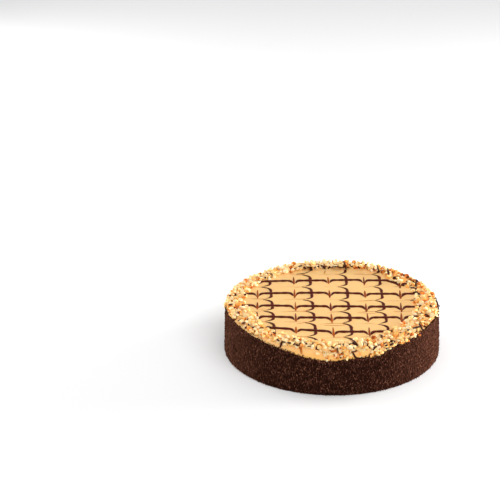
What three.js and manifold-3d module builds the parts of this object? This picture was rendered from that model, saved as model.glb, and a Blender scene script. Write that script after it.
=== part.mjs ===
// A whole round layer torte: a drum of cake with a coat of dark crumbs round its side, a caramel icing cap
// with chocolate lines feathered into it, and a ring of chopped roasted nuts pressed into the icing's edge.
// Millimetres, +Z up. The origin is the centre of the flat base. The pattern's rows run along X, and the
// front is at -Y.
import * as THREE from "three";
import { ConvexGeometry } from "three/addons/geometries/ConvexGeometry.js";
import { mergeVertices } from "three/addons/utils/BufferGeometryUtils.js";
import Module from "manifold-3d";

const wasm = await Module();
wasm.setup();

// Driving dimensions of the drum
const BASE_DIAMETER = 225;
const TOP_HEIGHT = 48; // from the base to the icing between the lines
const SIDE_TAPER = 1.6; // how much smaller the radius is at the shoulder
const BASE_CHAMFER = 1.5;
const CRUMB_RELIEF = 0.7; // how far a crumb stands out of the coat's mean surface
const ICING_THICKNESS = 3.2;
const GAP = 0.35; // between the icing's underside and the cake

// The icing's edge hangs over the shoulder, furthest at the front
const EDGE_DROP = 1.5;
const EDGE_WAVES = [
  { height: 0.35, count: 3, shift: 1.1 },
  { height: 0.35, count: 7, shift: 0.4 },
];
const EDGE_SAGS = [
  { azimuth: -94, width: 26, depth: 9.2 }, // both angles in degrees
  { azimuth: -69.5, width: 7, depth: 3.6 },
  { azimuth: -177, width: 9, depth: 2.2 },
];
const SHOULDER_RUN = 6; // width of the sloping shoulder under the icing
const EDGE_INSET = 0.9; // the icing's lip lies inside the coat's surface by this much
const LIP_ROUND_WIDTH = 2.6;
const LIP_ROUND_HEIGHT = 1.2;
const LIP_DEPTH = 14; // how far down the icing is made before the cake is cut from it

// The ring of nuts
const RING_INNER_RADIUS = 92.5;
const RING_BAYS = [
  { azimuth: -27, width: 32, reach: -10 },
  { azimuth: -148, width: 20, reach: -3 },
  { azimuth: 60, width: 15, reach: 5 },
];
const RING_ROWS = 3;
const RING_SLOPE_WIDTH = 1.5; // from the bed's inner edge to the level icing
const RING_BED = 1.8; // least height of the bed of small pieces between the large ones
const RING_BUMP = 1.3; // how much further the bed rises in places
const RING_RIM_SHARE = 0.5; // of the bed's height at the ring's outer edge
const NUT_COUNT = 204;
const NUT_LENGTH = 7;
const NUT_WIDTH = 5.6;
const NUT_HEIGHT = 4.2;
const NUT_CORNERS = 8;
const NUT_SIZE_SPREAD = 0.22;
const NUT_CORNER_REACH = [0.85, 1.1]; // shares of the ellipsoid's own radius
const NUT_CORNER_TURN = 0.4; // radians
const NUT_TILT = 0.5; // radians
const NUT_LEVEL = 2.8; // height of a nut's middle over the icing
const NUT_LEVEL_SPREAD = 0.3;
const NUT_RIM_CLEARANCE = 2.8; // from a nut's middle to the drum's edge

// The feathered chocolate lines. Rows run along X and are dragged to the front, and columns run along Y and
// are dragged to the left. Each pair says where a line or a drag lies at the two ends of its run, which are
// left and right for a row and for a drag across the columns, and front and back for the others.
const ROWS = [
  [61, 57],
  [30, 23.5],
  [-1, -10],
  [-28.5, -37.5],
  [-59, -64],
];
const COLUMNS = [
  [-60.6, -63.1],
  [-19.6, -18.6],
  [15.9, 19.9],
  [52.9, 55.9],
];
const DRAGS_OF_ROWS = [
  [-78.1, -75.6],
  [-39.6, -36.6],
  [-2.6, -0.1],
  [32.4, 38.4],
  [65.4, 77.4],
];
const DRAGS_OF_COLUMNS = [
  [78.5, 75.5],
  [47, 42],
  [15.5, 6],
  [-13.5, -21.5],
  [-38.5, -53],
  [-73, -82.5],
];
const ROW_DRAG = 8.5;
const COLUMN_DRAG = 7;
const ROW_DRAG_WIDTH = 2.4; // how quickly a line leaves its drag point
const COLUMN_DRAG_WIDTH = 3.3;
const ROW_WIDTH = 3.8;
const COLUMN_WIDTH = 3.2;
const TIP_SHARE = 0.3; // of its width that a line keeps where it was dragged
const TIP_LENGTH = 4;
const LINE_RISE = 0.7;
const LINE_SINK = 0.12; // how far the line's widest level lies under the icing's surface
const LINE_END_RADIUS = 91;
const LINE_STEPS = 5;
const STEP_CROWDING = 0.8; // 0 spaces a line's steps evenly, 1 draws them close to its ends
const SHORTEST_LINE = 8;

// Facets
const AROUND = 96;
const SIDE_ROWS = 7;
const RANDOM_SEED = 850;

const baseRadius = BASE_DIAMETER / 2 - CRUMB_RELIEF;
const shoulderRadius = baseRadius - SIDE_TAPER;
const lipRadius = shoulderRadius - EDGE_INSET;
const cakeTop = TOP_HEIGHT - ICING_THICKNESS - GAP;
const goldenAngle = Math.PI * (3 - Math.sqrt(5));

THREE.MathUtils.seededRandom(RANDOM_SEED);
const draw = () => THREE.MathUtils.seededRandom();
const drawBetween = (low, high) => low + (high - low) * draw();

// A smooth hump round the drum: 1 at its azimuth, falling to 0 on both sides over its width, in degrees.
function humpAt(angle, azimuth, width) {
  const degrees = THREE.MathUtils.radToDeg(angle) - azimuth;
  const turn = THREE.MathUtils.euclideanModulo(degrees + 180, 360) - 180;
  return Math.exp(-((turn / width) ** 2));
}

// How far the icing's lower edge lies under the top, at an azimuth in radians.
function edgeDrop(angle) {
  const waves = EDGE_WAVES.map(({ height, count, shift }) => height * Math.sin(count * angle + shift));
  const sags = EDGE_SAGS.map(({ azimuth, width, depth }) => depth * humpAt(angle, azimuth, width));
  return [...waves, ...sags].reduce((drop, part) => drop + part, EDGE_DROP);
}

// How far the nut ring's inner edge lies outside its usual radius, at an azimuth in radians.
function bayReach(angle) {
  return RING_BAYS.reduce((reach, bay) => reach + bay.reach * humpAt(angle, bay.azimuth, bay.width), 0);
}

// The geometry with its shared vertices merged, which leaves it closed.
function welded(geometry) {
  const bare = geometry.clone();
  bare.deleteAttribute("normal");
  bare.deleteAttribute("uv");
  return mergeVertices(bare, 1e-4);
}

// A profile of rings turned round Z. A ring has a radius and a height, and may follow the icing's edge or the
// nut ring's bays by a share, stand in and out at random by `rough`, or rise at random by up to `bump`.
function turned(rings) {
  const lathe = new THREE.LatheGeometry(
    rings.map(({ radius, height }) => new THREE.Vector2(radius, height)),
    AROUND,
  );
  const places = lathe.getAttribute("position");
  for (let column = 0; column < AROUND; column++) {
    const angle = (2 * Math.PI * column) / AROUND;
    rings.forEach((ring, row) => {
      const bay = (ring.bays ?? 0) * bayReach(angle);
      const radius = ring.radius + bay + (ring.rough ?? 0) * drawBetween(-1, 1);
      const height = ring.height - (ring.edge ?? 0) * edgeDrop(angle) + (ring.bump ?? 0) * draw();
      const place = [radius * Math.cos(angle), radius * Math.sin(angle), height];
      places.setXYZ(column * rings.length + row, ...place);
      if (column === 0) places.setXYZ(AROUND * rings.length + row, ...place);
    });
  }
  return welded(lathe);
}

// The manifold solid inside a closed geometry.
function solidOf(geometry) {
  return new wasm.Manifold(
    new wasm.Mesh({
      numProp: 3,
      vertProperties: geometry.getAttribute("position").array,
      triVerts: new Uint32Array(geometry.index.array),
    }),
  );
}

function geometryOf(solid) {
  const mesh = solid.getMesh();
  const geometry = new THREE.BufferGeometry();
  geometry.setAttribute("position", new THREE.BufferAttribute(mesh.vertProperties, mesh.numProp));
  geometry.setIndex(new THREE.BufferAttribute(mesh.triVerts, 1));
  geometry.computeVertexNormals();
  return geometry;
}

// The drum of cake. Its side carries the crumb coat's relief, and its shoulder slopes under the icing's edge.
function cakeGeometry() {
  const side = Array.from({ length: SIDE_ROWS + 1 }, (_, row) => {
    const share = row / SIDE_ROWS;
    return {
      radius: baseRadius - share * SIDE_TAPER,
      height: THREE.MathUtils.lerp(BASE_CHAMFER, TOP_HEIGHT, share),
      edge: share,
      rough: row < SIDE_ROWS ? CRUMB_RELIEF : 0,
    };
  });
  return turned([
    { radius: 0, height: 0 },
    { radius: baseRadius - BASE_CHAMFER, height: 0 },
    ...side,
    { radius: lipRadius, height: TOP_HEIGHT, edge: 1 },
    { radius: shoulderRadius - SHOULDER_RUN, height: cakeTop },
    { radius: 0, height: cakeTop },
  ]);
}

// The icing before the cake is cut from it: a rounded lip, the bumpy bed of the nuts, and a level middle.
function icingBlankGeometry() {
  const ringOuterRadius = lipRadius - LIP_ROUND_WIDTH;
  const bed = Array.from({ length: RING_ROWS }, (_, row) => {
    const share = (row + 1) / RING_ROWS;
    return {
      radius: THREE.MathUtils.lerp(ringOuterRadius, RING_INNER_RADIUS, share),
      height: TOP_HEIGHT + RING_BED,
      bays: share,
      bump: RING_BUMP,
    };
  });
  return turned([
    { radius: 0, height: TOP_HEIGHT - LIP_DEPTH },
    { radius: lipRadius - GAP, height: TOP_HEIGHT - LIP_DEPTH },
    { radius: lipRadius - GAP, height: TOP_HEIGHT - LIP_ROUND_HEIGHT },
    {
      radius: ringOuterRadius,
      height: TOP_HEIGHT + RING_RIM_SHARE * RING_BED,
      bump: RING_RIM_SHARE * RING_BUMP,
    },
    ...bed,
    { radius: RING_INNER_RADIUS - RING_SLOPE_WIDTH, height: TOP_HEIGHT, bays: 1 },
    { radius: 0, height: TOP_HEIGHT },
  ]);
}

// Where a straight run lies, from its two ends and a place between them.
function runAt(ends, place) {
  return THREE.MathUtils.mapLinear(place, -LINE_END_RADIUS, LINE_END_RADIUS, ...ends);
}

// One scallop of a dragged line: on the line in the middle, pulled back at each end to its drag points.
class Scallop extends THREE.Curve {
  constructor(from, to, line) {
    super();
    Object.assign(this, { from, to, line });
  }

  // How far a place along the line lies from the nearer dragged end.
  fromDrag(along) {
    const distance = (end) => (end.dragged ? Math.abs(along - end.place) : Infinity);
    return Math.min(distance(this.from), distance(this.to));
  }

  getPoint(t, target = new THREE.Vector3()) {
    const { ends, drag, dragWidth, alongX } = this.line;
    const along = THREE.MathUtils.lerp(this.from.place, this.to.place, t);
    const across = runAt(ends, along) - drag * Math.exp(-this.fromDrag(along) / dragWidth);
    return alongX ? target.set(along, across, 0) : target.set(across, along, 0);
  }

  // Its steps lie closer together toward the two ends, where it bends.
  getUtoTmapping(u) {
    return THREE.MathUtils.lerp(u, THREE.MathUtils.smoothstep(u, 0, 1), STEP_CROWDING);
  }

  // Half the line's width at a share of its steps.
  halfWidthAt(u) {
    const along = THREE.MathUtils.lerp(this.from.place, this.to.place, this.getUtoTmapping(u));
    const fullness = THREE.MathUtils.smoothstep(this.fromDrag(along), 0, TIP_LENGTH);
    return (this.line.width / 2) * THREE.MathUtils.lerp(TIP_SHARE, 1, fullness);
  }
}

// The scallops of one line, from one end of its chord on the icing to the other.
function scallopsOf(line, drags) {
  const halfChord = Math.sqrt(LINE_END_RADIUS ** 2 - runAt(line.ends, 0) ** 2);
  const crossings = drags.map((drag) => runAt(drag, runAt(line.ends, runAt(drag, 0))));
  const inner = crossings.filter((place) => Math.abs(place) < halfChord).sort((a, b) => a - b);
  const stops = [
    { place: -halfChord, dragged: false },
    ...inner.map((place) => ({ place, dragged: true })),
    { place: halfChord, dragged: false },
  ];
  return stops
    .slice(1)
    .map((to, i) => new Scallop(stops[i], to, line))
    .filter((curve) => curve.to.place - curve.from.place > SHORTEST_LINE);
}

// A line is a low ridge: a four-sided rod laid along its scallop, its lower part sunk in the icing.
function ridgeSolid(curve) {
  const ridge = new THREE.CylinderGeometry(1, 1, 1, 4, LINE_STEPS);
  const corners = ridge.getAttribute("position");
  for (let i = 0; i < corners.count; i++) {
    const u = corners.getY(i) + 0.5;
    const centre = curve.getPointAt(u);
    const way = curve.getTangentAt(u);
    const aside = corners.getX(i) * curve.halfWidthAt(u);
    const height = TOP_HEIGHT - LINE_SINK + corners.getZ(i) * (LINE_RISE + LINE_SINK);
    corners.setXYZ(i, centre.x + way.y * aside, centre.y - way.x * aside, height);
  }
  return solidOf(welded(ridge));
}

function featheredLines() {
  const rows = ROWS.map((ends) => ({
    ends,
    drag: ROW_DRAG,
    dragWidth: ROW_DRAG_WIDTH,
    width: ROW_WIDTH,
    alongX: true,
  }));
  const columns = COLUMNS.map((ends) => ({
    ends,
    drag: COLUMN_DRAG,
    dragWidth: COLUMN_DRAG_WIDTH,
    width: COLUMN_WIDTH,
    alongX: false,
  }));
  return [
    ...rows.flatMap((line) => scallopsOf(line, DRAGS_OF_ROWS)),
    ...columns.flatMap((line) => scallopsOf(line, DRAGS_OF_COLUMNS)),
  ].map(ridgeSolid);
}

// One chopped nut: the hull of a few corners spread over an ellipsoid, so that it has flat broken faces.
function nutGeometry() {
  const size = drawBetween(1 - NUT_SIZE_SPREAD, 1 + NUT_SIZE_SPREAD);
  const corners = Array.from({ length: NUT_CORNERS }, (_, i) => {
    const height = 1 - (2 * (i + 0.5)) / NUT_CORNERS;
    const turn = i * goldenAngle + drawBetween(-NUT_CORNER_TURN, NUT_CORNER_TURN);
    const reach = Math.sqrt(1 - height ** 2);
    return new THREE.Vector3(reach * Math.cos(turn), reach * Math.sin(turn), height)
      .multiplyScalar((size / 2) * drawBetween(...NUT_CORNER_REACH))
      .multiply(new THREE.Vector3(NUT_LENGTH, NUT_WIDTH, NUT_HEIGHT));
  });
  return new ConvexGeometry(corners);
}

// The nuts lie evenly round the ring: a golden-angle spiral gives each its place, and it is turned at random.
function nutRing() {
  const outer = shoulderRadius - NUT_RIM_CLEARANCE;
  return Array.from({ length: NUT_COUNT }, (_, i) => {
    const angle = i * goldenAngle;
    const inner = RING_INNER_RADIUS + bayReach(angle) + NUT_WIDTH / 4;
    const share = (i + 0.5) / NUT_COUNT;
    const radius = Math.sqrt(THREE.MathUtils.lerp(inner ** 2, outer ** 2, share));
    const height = TOP_HEIGHT + NUT_LEVEL + drawBetween(-NUT_LEVEL_SPREAD, NUT_LEVEL_SPREAD);
    const nut = nutGeometry();
    nut.rotateX(drawBetween(-NUT_TILT, NUT_TILT));
    nut.rotateZ(drawBetween(0, 2 * Math.PI));
    nut.translate(radius * Math.cos(angle), radius * Math.sin(angle), height);
    return solidOf(welded(nut));
  });
}

// The icing, its lines and its nuts are one body. Its underside is the cake's own top, one gap higher.
function icedTopGeometry(cake) {
  const cap = solidOf(icingBlankGeometry()).subtract(solidOf(cake).translate([0, 0, GAP]));
  const joined = wasm.Manifold.union([cap, ...featheredLines(), ...nutRing()]);
  const largest = joined.decompose().sort((a, b) => b.volume() - a.volume())[0];
  return geometryOf(largest);
}

function namedMesh(name, geometry, color, roughness) {
  const mesh = new THREE.Mesh(geometry, new THREE.MeshStandardMaterial({ color, roughness, metalness: 0 }));
  mesh.name = name;
  return mesh;
}

const torte = new THREE.Group();
torte.name = "torte";
const cake = cakeGeometry();
torte.add(namedMesh("crumb_coated_cake", cake, 0x3a1f17, 0.95));
torte.add(namedMesh("iced_top", icedTopGeometry(cake), 0xeebd76, 0.45));

export default torte;
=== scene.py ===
"""The looks of a whole round torte.

A drum of cake stands in a coat of dark crumbs. Caramel icing covers its top and hangs over the shoulder, with
chocolate lines feathered into it, and chopped roasted nuts lie in a ring on the icing's edge. Everything is in
metres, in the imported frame: the base's centre is the origin, +Z is up and -Y is the front.
"""

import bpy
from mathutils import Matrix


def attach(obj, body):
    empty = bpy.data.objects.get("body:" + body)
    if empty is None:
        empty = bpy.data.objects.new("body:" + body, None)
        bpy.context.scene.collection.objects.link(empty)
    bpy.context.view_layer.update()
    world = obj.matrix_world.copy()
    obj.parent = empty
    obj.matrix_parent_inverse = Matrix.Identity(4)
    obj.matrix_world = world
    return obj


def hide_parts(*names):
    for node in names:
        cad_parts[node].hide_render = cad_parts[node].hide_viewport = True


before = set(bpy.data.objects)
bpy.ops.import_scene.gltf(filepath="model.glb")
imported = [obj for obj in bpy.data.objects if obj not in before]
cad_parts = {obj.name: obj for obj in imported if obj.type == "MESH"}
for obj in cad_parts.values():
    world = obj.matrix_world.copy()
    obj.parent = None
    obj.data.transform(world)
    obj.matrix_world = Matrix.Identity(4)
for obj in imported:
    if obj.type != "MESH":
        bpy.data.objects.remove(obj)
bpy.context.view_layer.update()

import logging
import math
from dataclasses import dataclass, field
from enum import Enum
from typing import Callable, List, Mapping, Optional, Sequence, Tuple, Union

import bpy
import numpy as np
from mathutils import Matrix, Vector

log = logging.getLogger("torte")

MM = 0.001
Colour = Tuple[float, float, float]
Place = Tuple[float, float]
Spot = Tuple[float, float, float]
Stops = Tuple[Tuple[float, Colour], ...]
Humps = Tuple[Tuple[float, float, float], ...]
Mark = Tuple[float, Tuple[Tuple[float, ...], ...]]
Lay = Callable[[np.ndarray], np.ndarray]
Level = Callable[[np.ndarray, np.ndarray], np.ndarray]
Window = Tuple[slice, slice]


class Slot(Enum):
    """The record's material slots."""

    CRUMB = "crumb_coat"
    ICING = "icing"
    NUTS = "chopped_nuts"
    CHOCOLATE = "chocolate"


# Shader building


@dataclass(frozen=True)
class Channel:
    """One output socket, used as a number in shader maths."""

    graph: "Graph"
    socket: bpy.types.NodeSocket

    def __add__(self, other: "Operand") -> "Channel":
        """Adds a number or channel."""
        return self.graph.math("ADD", self, other)

    def __radd__(self, other: "Operand") -> "Channel":
        """Adds to a number."""
        return self.graph.math("ADD", other, self)

    def __sub__(self, other: "Operand") -> "Channel":
        """Subtracts a number or channel."""
        return self.graph.math("SUBTRACT", self, other)

    def __rsub__(self, other: "Operand") -> "Channel":
        """Subtracts from a number."""
        return self.graph.math("SUBTRACT", other, self)

    def __mul__(self, other: "Operand") -> "Channel":
        """Multiplies by a number or channel."""
        return self.graph.math("MULTIPLY", self, other)

    def __rmul__(self, other: "Operand") -> "Channel":
        """Multiplies a number."""
        return self.graph.math("MULTIPLY", other, self)

    def clamped(self) -> "Channel":
        """The same channel, held between 0 and 1."""
        return self.graph.math("ADD", self, 0.0, clamp=True)


Operand = Union[Channel, float]
Input = Union[Channel, float, Sequence[float]]


class Graph:
    """The node tree of one material."""

    def __init__(self, name: str) -> None:
        """Makes an empty material.

        Args:
            name: The material's name.
        """
        self.material = bpy.data.materials.new(name)
        self.material.use_nodes = True
        self.tree = self.material.node_tree
        self.tree.nodes.clear()

    def node(
        self,
        kind: str,
        settings: Optional[Mapping[str, object]] = None,
        inputs: Optional[Mapping[Union[str, int], Input]] = None,
    ) -> bpy.types.Node:
        """Adds one node, sets it, and then fills or links its sockets.

        Args:
            kind: The node's type name.
            settings: Its properties. `stops` holds a ramp's places and colours.
            inputs: A value or a channel for each named or numbered socket.

        Returns:
            The new node.
        """
        made = self.tree.nodes.new(kind)
        for key, value in (settings or {}).items():
            if key == "stops":
                self._set_stops(made.color_ramp, value)
            else:
                setattr(made, key, value)
        for key, value in (inputs or {}).items():
            if isinstance(value, Channel):
                self.tree.links.new(value.socket, made.inputs[key])
            else:
                made.inputs[key].default_value = value
        return made

    @staticmethod
    def _set_stops(ramp: bpy.types.ColorRamp, stops: Stops) -> None:
        """Puts the stops of a colour ramp in place.

        Args:
            ramp: The ramp.
            stops: The place and colour of each stop.
        """
        while len(ramp.elements) < len(stops):
            ramp.elements.new(0.5)
        for element, (place, colour) in zip(ramp.elements, stops):
            element.position = place
            element.color = (*colour, 1.0)

    def out(self, made: bpy.types.Node, key: Union[str, int] = 0) -> Channel:
        """One output of a node as a channel."""
        return Channel(self, made.outputs[key])

    def math(self, operation: str, left: Operand, right: Operand, clamp: bool = False) -> Channel:
        """Adds a Math node.

        Args:
            operation: The node's operation.
            left: The first operand.
            right: The second operand.
            clamp: Whether the result is held between 0 and 1.

        Returns:
            The node's result.
        """
        settings = {"operation": operation, "use_clamp": clamp}
        return self.out(self.node("ShaderNodeMath", settings, {0: left, 1: right}))

    def places(self, stretch: Sequence[float] = (1.0, 1.0, 1.0)) -> Channel:
        """Object coordinates, multiplied by one factor for each axis."""
        coordinates = self.out(self.node("ShaderNodeTexCoord"), "Object")
        return self.out(self.node("ShaderNodeMapping", None, {"Vector": coordinates, "Scale": tuple(stretch)}))

    def tone(self) -> Channel:
        """The tone that the faces of a crumb or nut carry."""
        return self.out(self.node("ShaderNodeAttribute", {"attribute_name": "tone"}), "Fac")

    def noise(self, where: Channel, scale: float, detail: float = 3.0, roughness: float = 0.55) -> Channel:
        """A noise pattern between 0 and 1.

        Args:
            where: The coordinates to read.
            scale: Features in each metre.
            detail: Octaves.
            roughness: How strong the finer octaves are.

        Returns:
            The pattern's value.
        """
        inputs = {"Vector": where, "Scale": scale, "Detail": detail, "Roughness": roughness}
        return self.out(self.node("ShaderNodeTexNoise", None, inputs), "Fac")

    def ramp(self, value: Channel, stops: Stops) -> Channel:
        """The colour that a ramp gives for a value."""
        return self.out(self.node("ShaderNodeValToRGB", {"stops": stops}, {"Fac": value}), "Color")

    def mix(self, share: Operand, first: Input, second: Input) -> Channel:
        """Mixes two colours.

        Args:
            share: How much of the second colour.
            first: The first colour.
            second: The second colour.

        Returns:
            The mixed colour.
        """
        colours = {6: self._opaque(first), 7: self._opaque(second)}
        return self.out(self.node("ShaderNodeMix", {"data_type": "RGBA"}, {0: share, **colours}), 2)

    @staticmethod
    def _opaque(colour: Input) -> Input:
        """A plain colour gets its alpha. A channel stays as it is."""
        return colour if isinstance(colour, Channel) else (*colour, 1.0)

    def bump(self, height: Channel, distance: float, strength: float = 1.0) -> Channel:
        """A Bump node's normal for a height between 0 and 1 over a distance in metres."""
        inputs = {"Height": height, "Distance": distance, "Strength": strength}
        return self.out(self.node("ShaderNodeBump", None, inputs))

    def surface(self, inputs: Mapping[str, Input]) -> bpy.types.Material:
        """Ends the tree in one Principled surface.

        Args:
            inputs: A value or channel for each of its sockets that is not left as it is.

        Returns:
            The finished material.
        """
        shader = self.node("ShaderNodeBsdfPrincipled", None, inputs)
        self.node("ShaderNodeOutputMaterial", None, {"Surface": self.out(shader)})
        return self.material


# Finishes


@dataclass(frozen=True)
class CrumbFinish:
    """Dry dark chocolate crumbs with faint upright streaks. Their colour runs from near-black pits to redder,
    lighter tops along the same streaks that the bump raises: partly the crumbs' own mottling, partly painted
    shade in the low places and painted highlight on the high ones.
    """

    # The pit colour is partly painted shade and the top colour partly painted highlight, over the crumbs' own
    # colour.
    pit_and_painted_shade: Colour = (0.010, 0.0028, 0.0016)
    body: Colour = (0.032, 0.0092, 0.0054)
    top: Colour = (0.205, 0.084, 0.053)
    grain_scale: float = 1500.0
    grain_share: float = 0.8
    streak_scale: float = 1550.0
    streak_share: float = 2.5
    tone_share: float = 0.6
    darkening: float = 1.45
    roughness: float = 0.9
    dust: float = 0.14
    dust_tint: Colour = (1.0, 0.34, 0.16)

    def material(self) -> bpy.types.Material:
        """Builds the material of the coat and its loose crumbs.

        Returns:
            The material.
        """
        graph = Graph("dark_crumbs")
        grain = graph.noise(graph.places((1.0, 1.0, 0.6)), self.grain_scale, 2.0, 0.6)
        streak = graph.noise(graph.places((1.0, 1.0, 0.2)), self.streak_scale, 1.0)
        # The streak pattern both raises the coat and lightens its colour: painted shade in its low places,
        # painted highlight on its high ones.
        level = grain * self.grain_share + streak * self.streak_share + graph.tone() * self.tone_share
        stops = ((0.2, self.pit_and_painted_shade), (0.48, self.body), (0.85, self.top))
        return graph.surface(
            {
                "Base Color": graph.ramp((level - self.darkening).clamped(), stops),
                "Roughness": self.roughness,
                "Specular IOR Level": 0.015,
                "Sheen Weight": self.dust,
                "Sheen Roughness": 0.5,
                "Sheen Tint": (*self.dust_tint, 1.0),
                "Normal": graph.bump(streak, 0.4 * MM, 0.7),
            }
        )


@dataclass(frozen=True)
class IcingFinish:
    """Smooth caramel icing: almost even, faintly combed, and deeper where it hangs over the edge."""

    colour: Colour = (0.93, 0.56, 0.212)
    shade: Colour = (0.9, 0.51, 0.175)
    deep: Colour = (0.97, 0.49, 0.125)
    deep_from: float = 45.6 * MM
    deep_over: float = 5.0 * MM
    cloud_scale: float = 28.0
    cloud_share: float = 0.2
    combed_scale: float = 520.0
    combed_share: float = 0.7
    roughness: float = 0.42
    glow: float = 0.3
    glow_reach: Colour = (1.0, 0.6, 0.3)
    glow_scale: float = 2.5 * MM

    def material(self) -> bpy.types.Material:
        """Builds the icing's material.

        Returns:
            The material.
        """
        graph = Graph("caramel_icing")
        cloud = graph.noise(graph.places(), self.cloud_scale)
        combed = graph.noise(graph.places((0.12, 1.0, 1.0)), self.combed_scale, 3.0, 0.6)
        share = (cloud * self.cloud_share + combed * self.combed_share - 0.2).clamped()
        height = graph.out(graph.node("ShaderNodeSeparateXYZ", None, {0: graph.places()}), "Z")
        hanging = ((self.deep_from - height) * (1.0 / self.deep_over)).clamped()
        level = graph.mix(share, self.colour, self.shade)
        return graph.surface(
            {
                "Base Color": graph.mix(hanging, level, self.deep),
                "Roughness": combed * 0.16 + (self.roughness - 0.08),
                "Specular IOR Level": 0.4,
                "Subsurface Weight": self.glow,
                "Subsurface Radius": self.glow_reach,
                "Subsurface Scale": self.glow_scale,
                "Normal": graph.bump(combed, 0.12 * MM, 0.6),
            }
        )


@dataclass(frozen=True)
class ChocolateFinish:
    """Set chocolate or a smear of it, mottled lighter in places."""

    name: str
    dark: Colour
    light: Colour
    roughness: float = 0.34
    blotches: float = 0.0
    blotch_scale: float = 31.0
    mottle_scale: float = 340.0

    def material(self) -> bpy.types.Material:
        """Builds the material of one strength of chocolate.

        Returns:
            The material.
        """
        graph = Graph(self.name)
        mottle = graph.noise(graph.places(), self.mottle_scale)
        blotch = (graph.noise(graph.places(), self.blotch_scale, 1.0) - 0.5) * self.blotches
        share = (mottle * 1.4 + blotch - 0.3).clamped()
        return graph.surface(
            {
                "Base Color": graph.mix(share, self.dark, self.light),
                "Roughness": mottle * 0.2 + (self.roughness - 0.1),
                "Specular IOR Level": 0.08,
                "Normal": graph.bump(mottle, 0.1 * MM, 0.5),
            }
        )


@dataclass(frozen=True)
class NutFinish:
    """Chopped roasted nuts: pale broken faces, golden outsides and a few browned ones."""

    stops: Stops = (
        (0.0, (0.91, 0.705, 0.44)),
        (0.14, (0.91, 0.68, 0.36)),
        (0.3, (0.91, 0.61, 0.235)),
        (0.5, (0.88, 0.36, 0.065)),
        (0.66, (0.56, 0.125, 0.018)),
        (0.86, (0.20, 0.04, 0.008)),
        (1.0, (0.030, 0.007, 0.003)),
    )
    mottle_scale: float = 420.0
    mottle_share: float = 0.22
    roughness: float = 0.55
    glow: float = 0.45
    glow_reach: Colour = (1.0, 0.72, 0.45)
    glow_scale: float = 1.2 * MM

    def material(self) -> bpy.types.Material:
        """Builds the nuts' material, which lets a little light through.

        Returns:
            The material.
        """
        graph = Graph("roasted_nuts")
        mottle = graph.noise(graph.places(), self.mottle_scale, 3.0, 0.6)
        level = (graph.tone() + (mottle - 0.5) * self.mottle_share).clamped()
        return graph.surface(
            {
                "Base Color": graph.ramp(level, self.stops),
                "Roughness": mottle * 0.2 + (self.roughness - 0.1),
                "Specular IOR Level": 0.06,
                "Subsurface Weight": self.glow,
                "Subsurface Radius": self.glow_reach,
                "Subsurface Scale": self.glow_scale,
                "Normal": graph.bump(mottle, 0.2 * MM, 0.5),
            }
        )


# Modelling helpers


def begin() -> None:
    """Leaves nothing selected, so that the next operator acts on its own piece alone."""
    bpy.ops.object.select_all(action="DESELECT")


def take_active(name: str) -> bpy.types.Object:
    """Names the object that an operator has just added, and its mesh or curve.

    Args:
        name: The piece's name.

    Returns:
        The named object.
    """
    made = bpy.context.object
    made.name = name
    made.data.name = name
    return made


def vertex_array(piece: bpy.types.Object) -> np.ndarray:
    """Reads the piece's vertices.

    Args:
        piece: The piece.

    Returns:
        An array with a row for each vertex.
    """
    places = np.empty(len(piece.data.vertices) * 3)
    piece.data.vertices.foreach_get("co", places)
    return places.reshape(-1, 3)


def put_vertices(piece: bpy.types.Object, places: np.ndarray) -> None:
    """Moves the piece's vertices to the rows of an array."""
    piece.data.vertices.foreach_set("co", places.astype(np.float32).ravel())
    piece.data.update()


def azimuths(places: np.ndarray) -> np.ndarray:
    """The angle round the torte of each row of places."""
    return np.arctan2(places[:, 1], places[:, 0])


def round_about(radius: np.ndarray, angle: np.ndarray, height: np.ndarray) -> np.ndarray:
    """Rows of places from radii, angles and heights."""
    return np.stack([radius * np.cos(angle), radius * np.sin(angle), height], -1)


def apply_modifiers(piece: bpy.types.Object) -> None:
    """Applies every modifier of the piece, in order.

    Args:
        piece: The piece.
    """
    bpy.context.view_layer.objects.active = piece
    for modifier in list(piece.modifiers):
        bpy.ops.object.modifier_apply(modifier=modifier.name)


def turned(name: str, rings: Sequence[Place], around: int) -> bpy.types.Object:
    """Extrudes a circle from ring to ring, closes both ends and turns its faces outwards.

    Args:
        name: The piece's name.
        rings: Radius and height of each ring, from the foot's middle outwards and up.
        around: Vertices in each ring.

    Returns:
        The closed piece.
    """
    begin()
    radius, height = rings[0]
    bpy.ops.mesh.primitive_circle_add(vertices=around, radius=radius, fill_type="NGON")
    piece = take_active(name)
    bpy.ops.object.mode_set(mode="EDIT")
    bpy.ops.mesh.select_all(action="SELECT")
    bpy.ops.transform.translate(value=(0.0, 0.0, height))
    bpy.ops.mesh.select_mode(type="EDGE")
    for next_radius, next_height in rings[1:]:
        bpy.ops.mesh.extrude_edges_move(TRANSFORM_OT_translate={"value": (0.0, 0.0, next_height - height)})
        share = next_radius / radius
        bpy.ops.transform.resize(value=(share, share, 1.0), center_override=(0.0, 0.0, next_height))
        radius, height = next_radius, next_height
    bpy.ops.mesh.edge_face_add()
    bpy.ops.mesh.select_all(action="SELECT")
    bpy.ops.mesh.normals_make_consistent(inside=False)
    bpy.ops.object.mode_set(mode="OBJECT")
    return piece


def roughened(piece: bpy.types.Object, kind: str, size: float, height: float) -> None:
    """Raises and lowers the piece's surface by one procedural texture.

    Args:
        piece: The piece to roughen.
        kind: The texture's type.
        size: The size of the texture's features, in metres.
        height: How far the surface moves in all, in metres. Below 0, the texture's low places stand out.
    """
    texture = bpy.data.textures.new(f"{piece.name}_{kind.lower()}", type=kind)
    texture.noise_scale = size
    modifier = piece.modifiers.new(texture.name, "DISPLACE")
    modifier.texture = texture
    modifier.texture_coords = "LOCAL"
    modifier.strength = height
    modifier.mid_level = 0.5
    apply_modifiers(piece)


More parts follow.
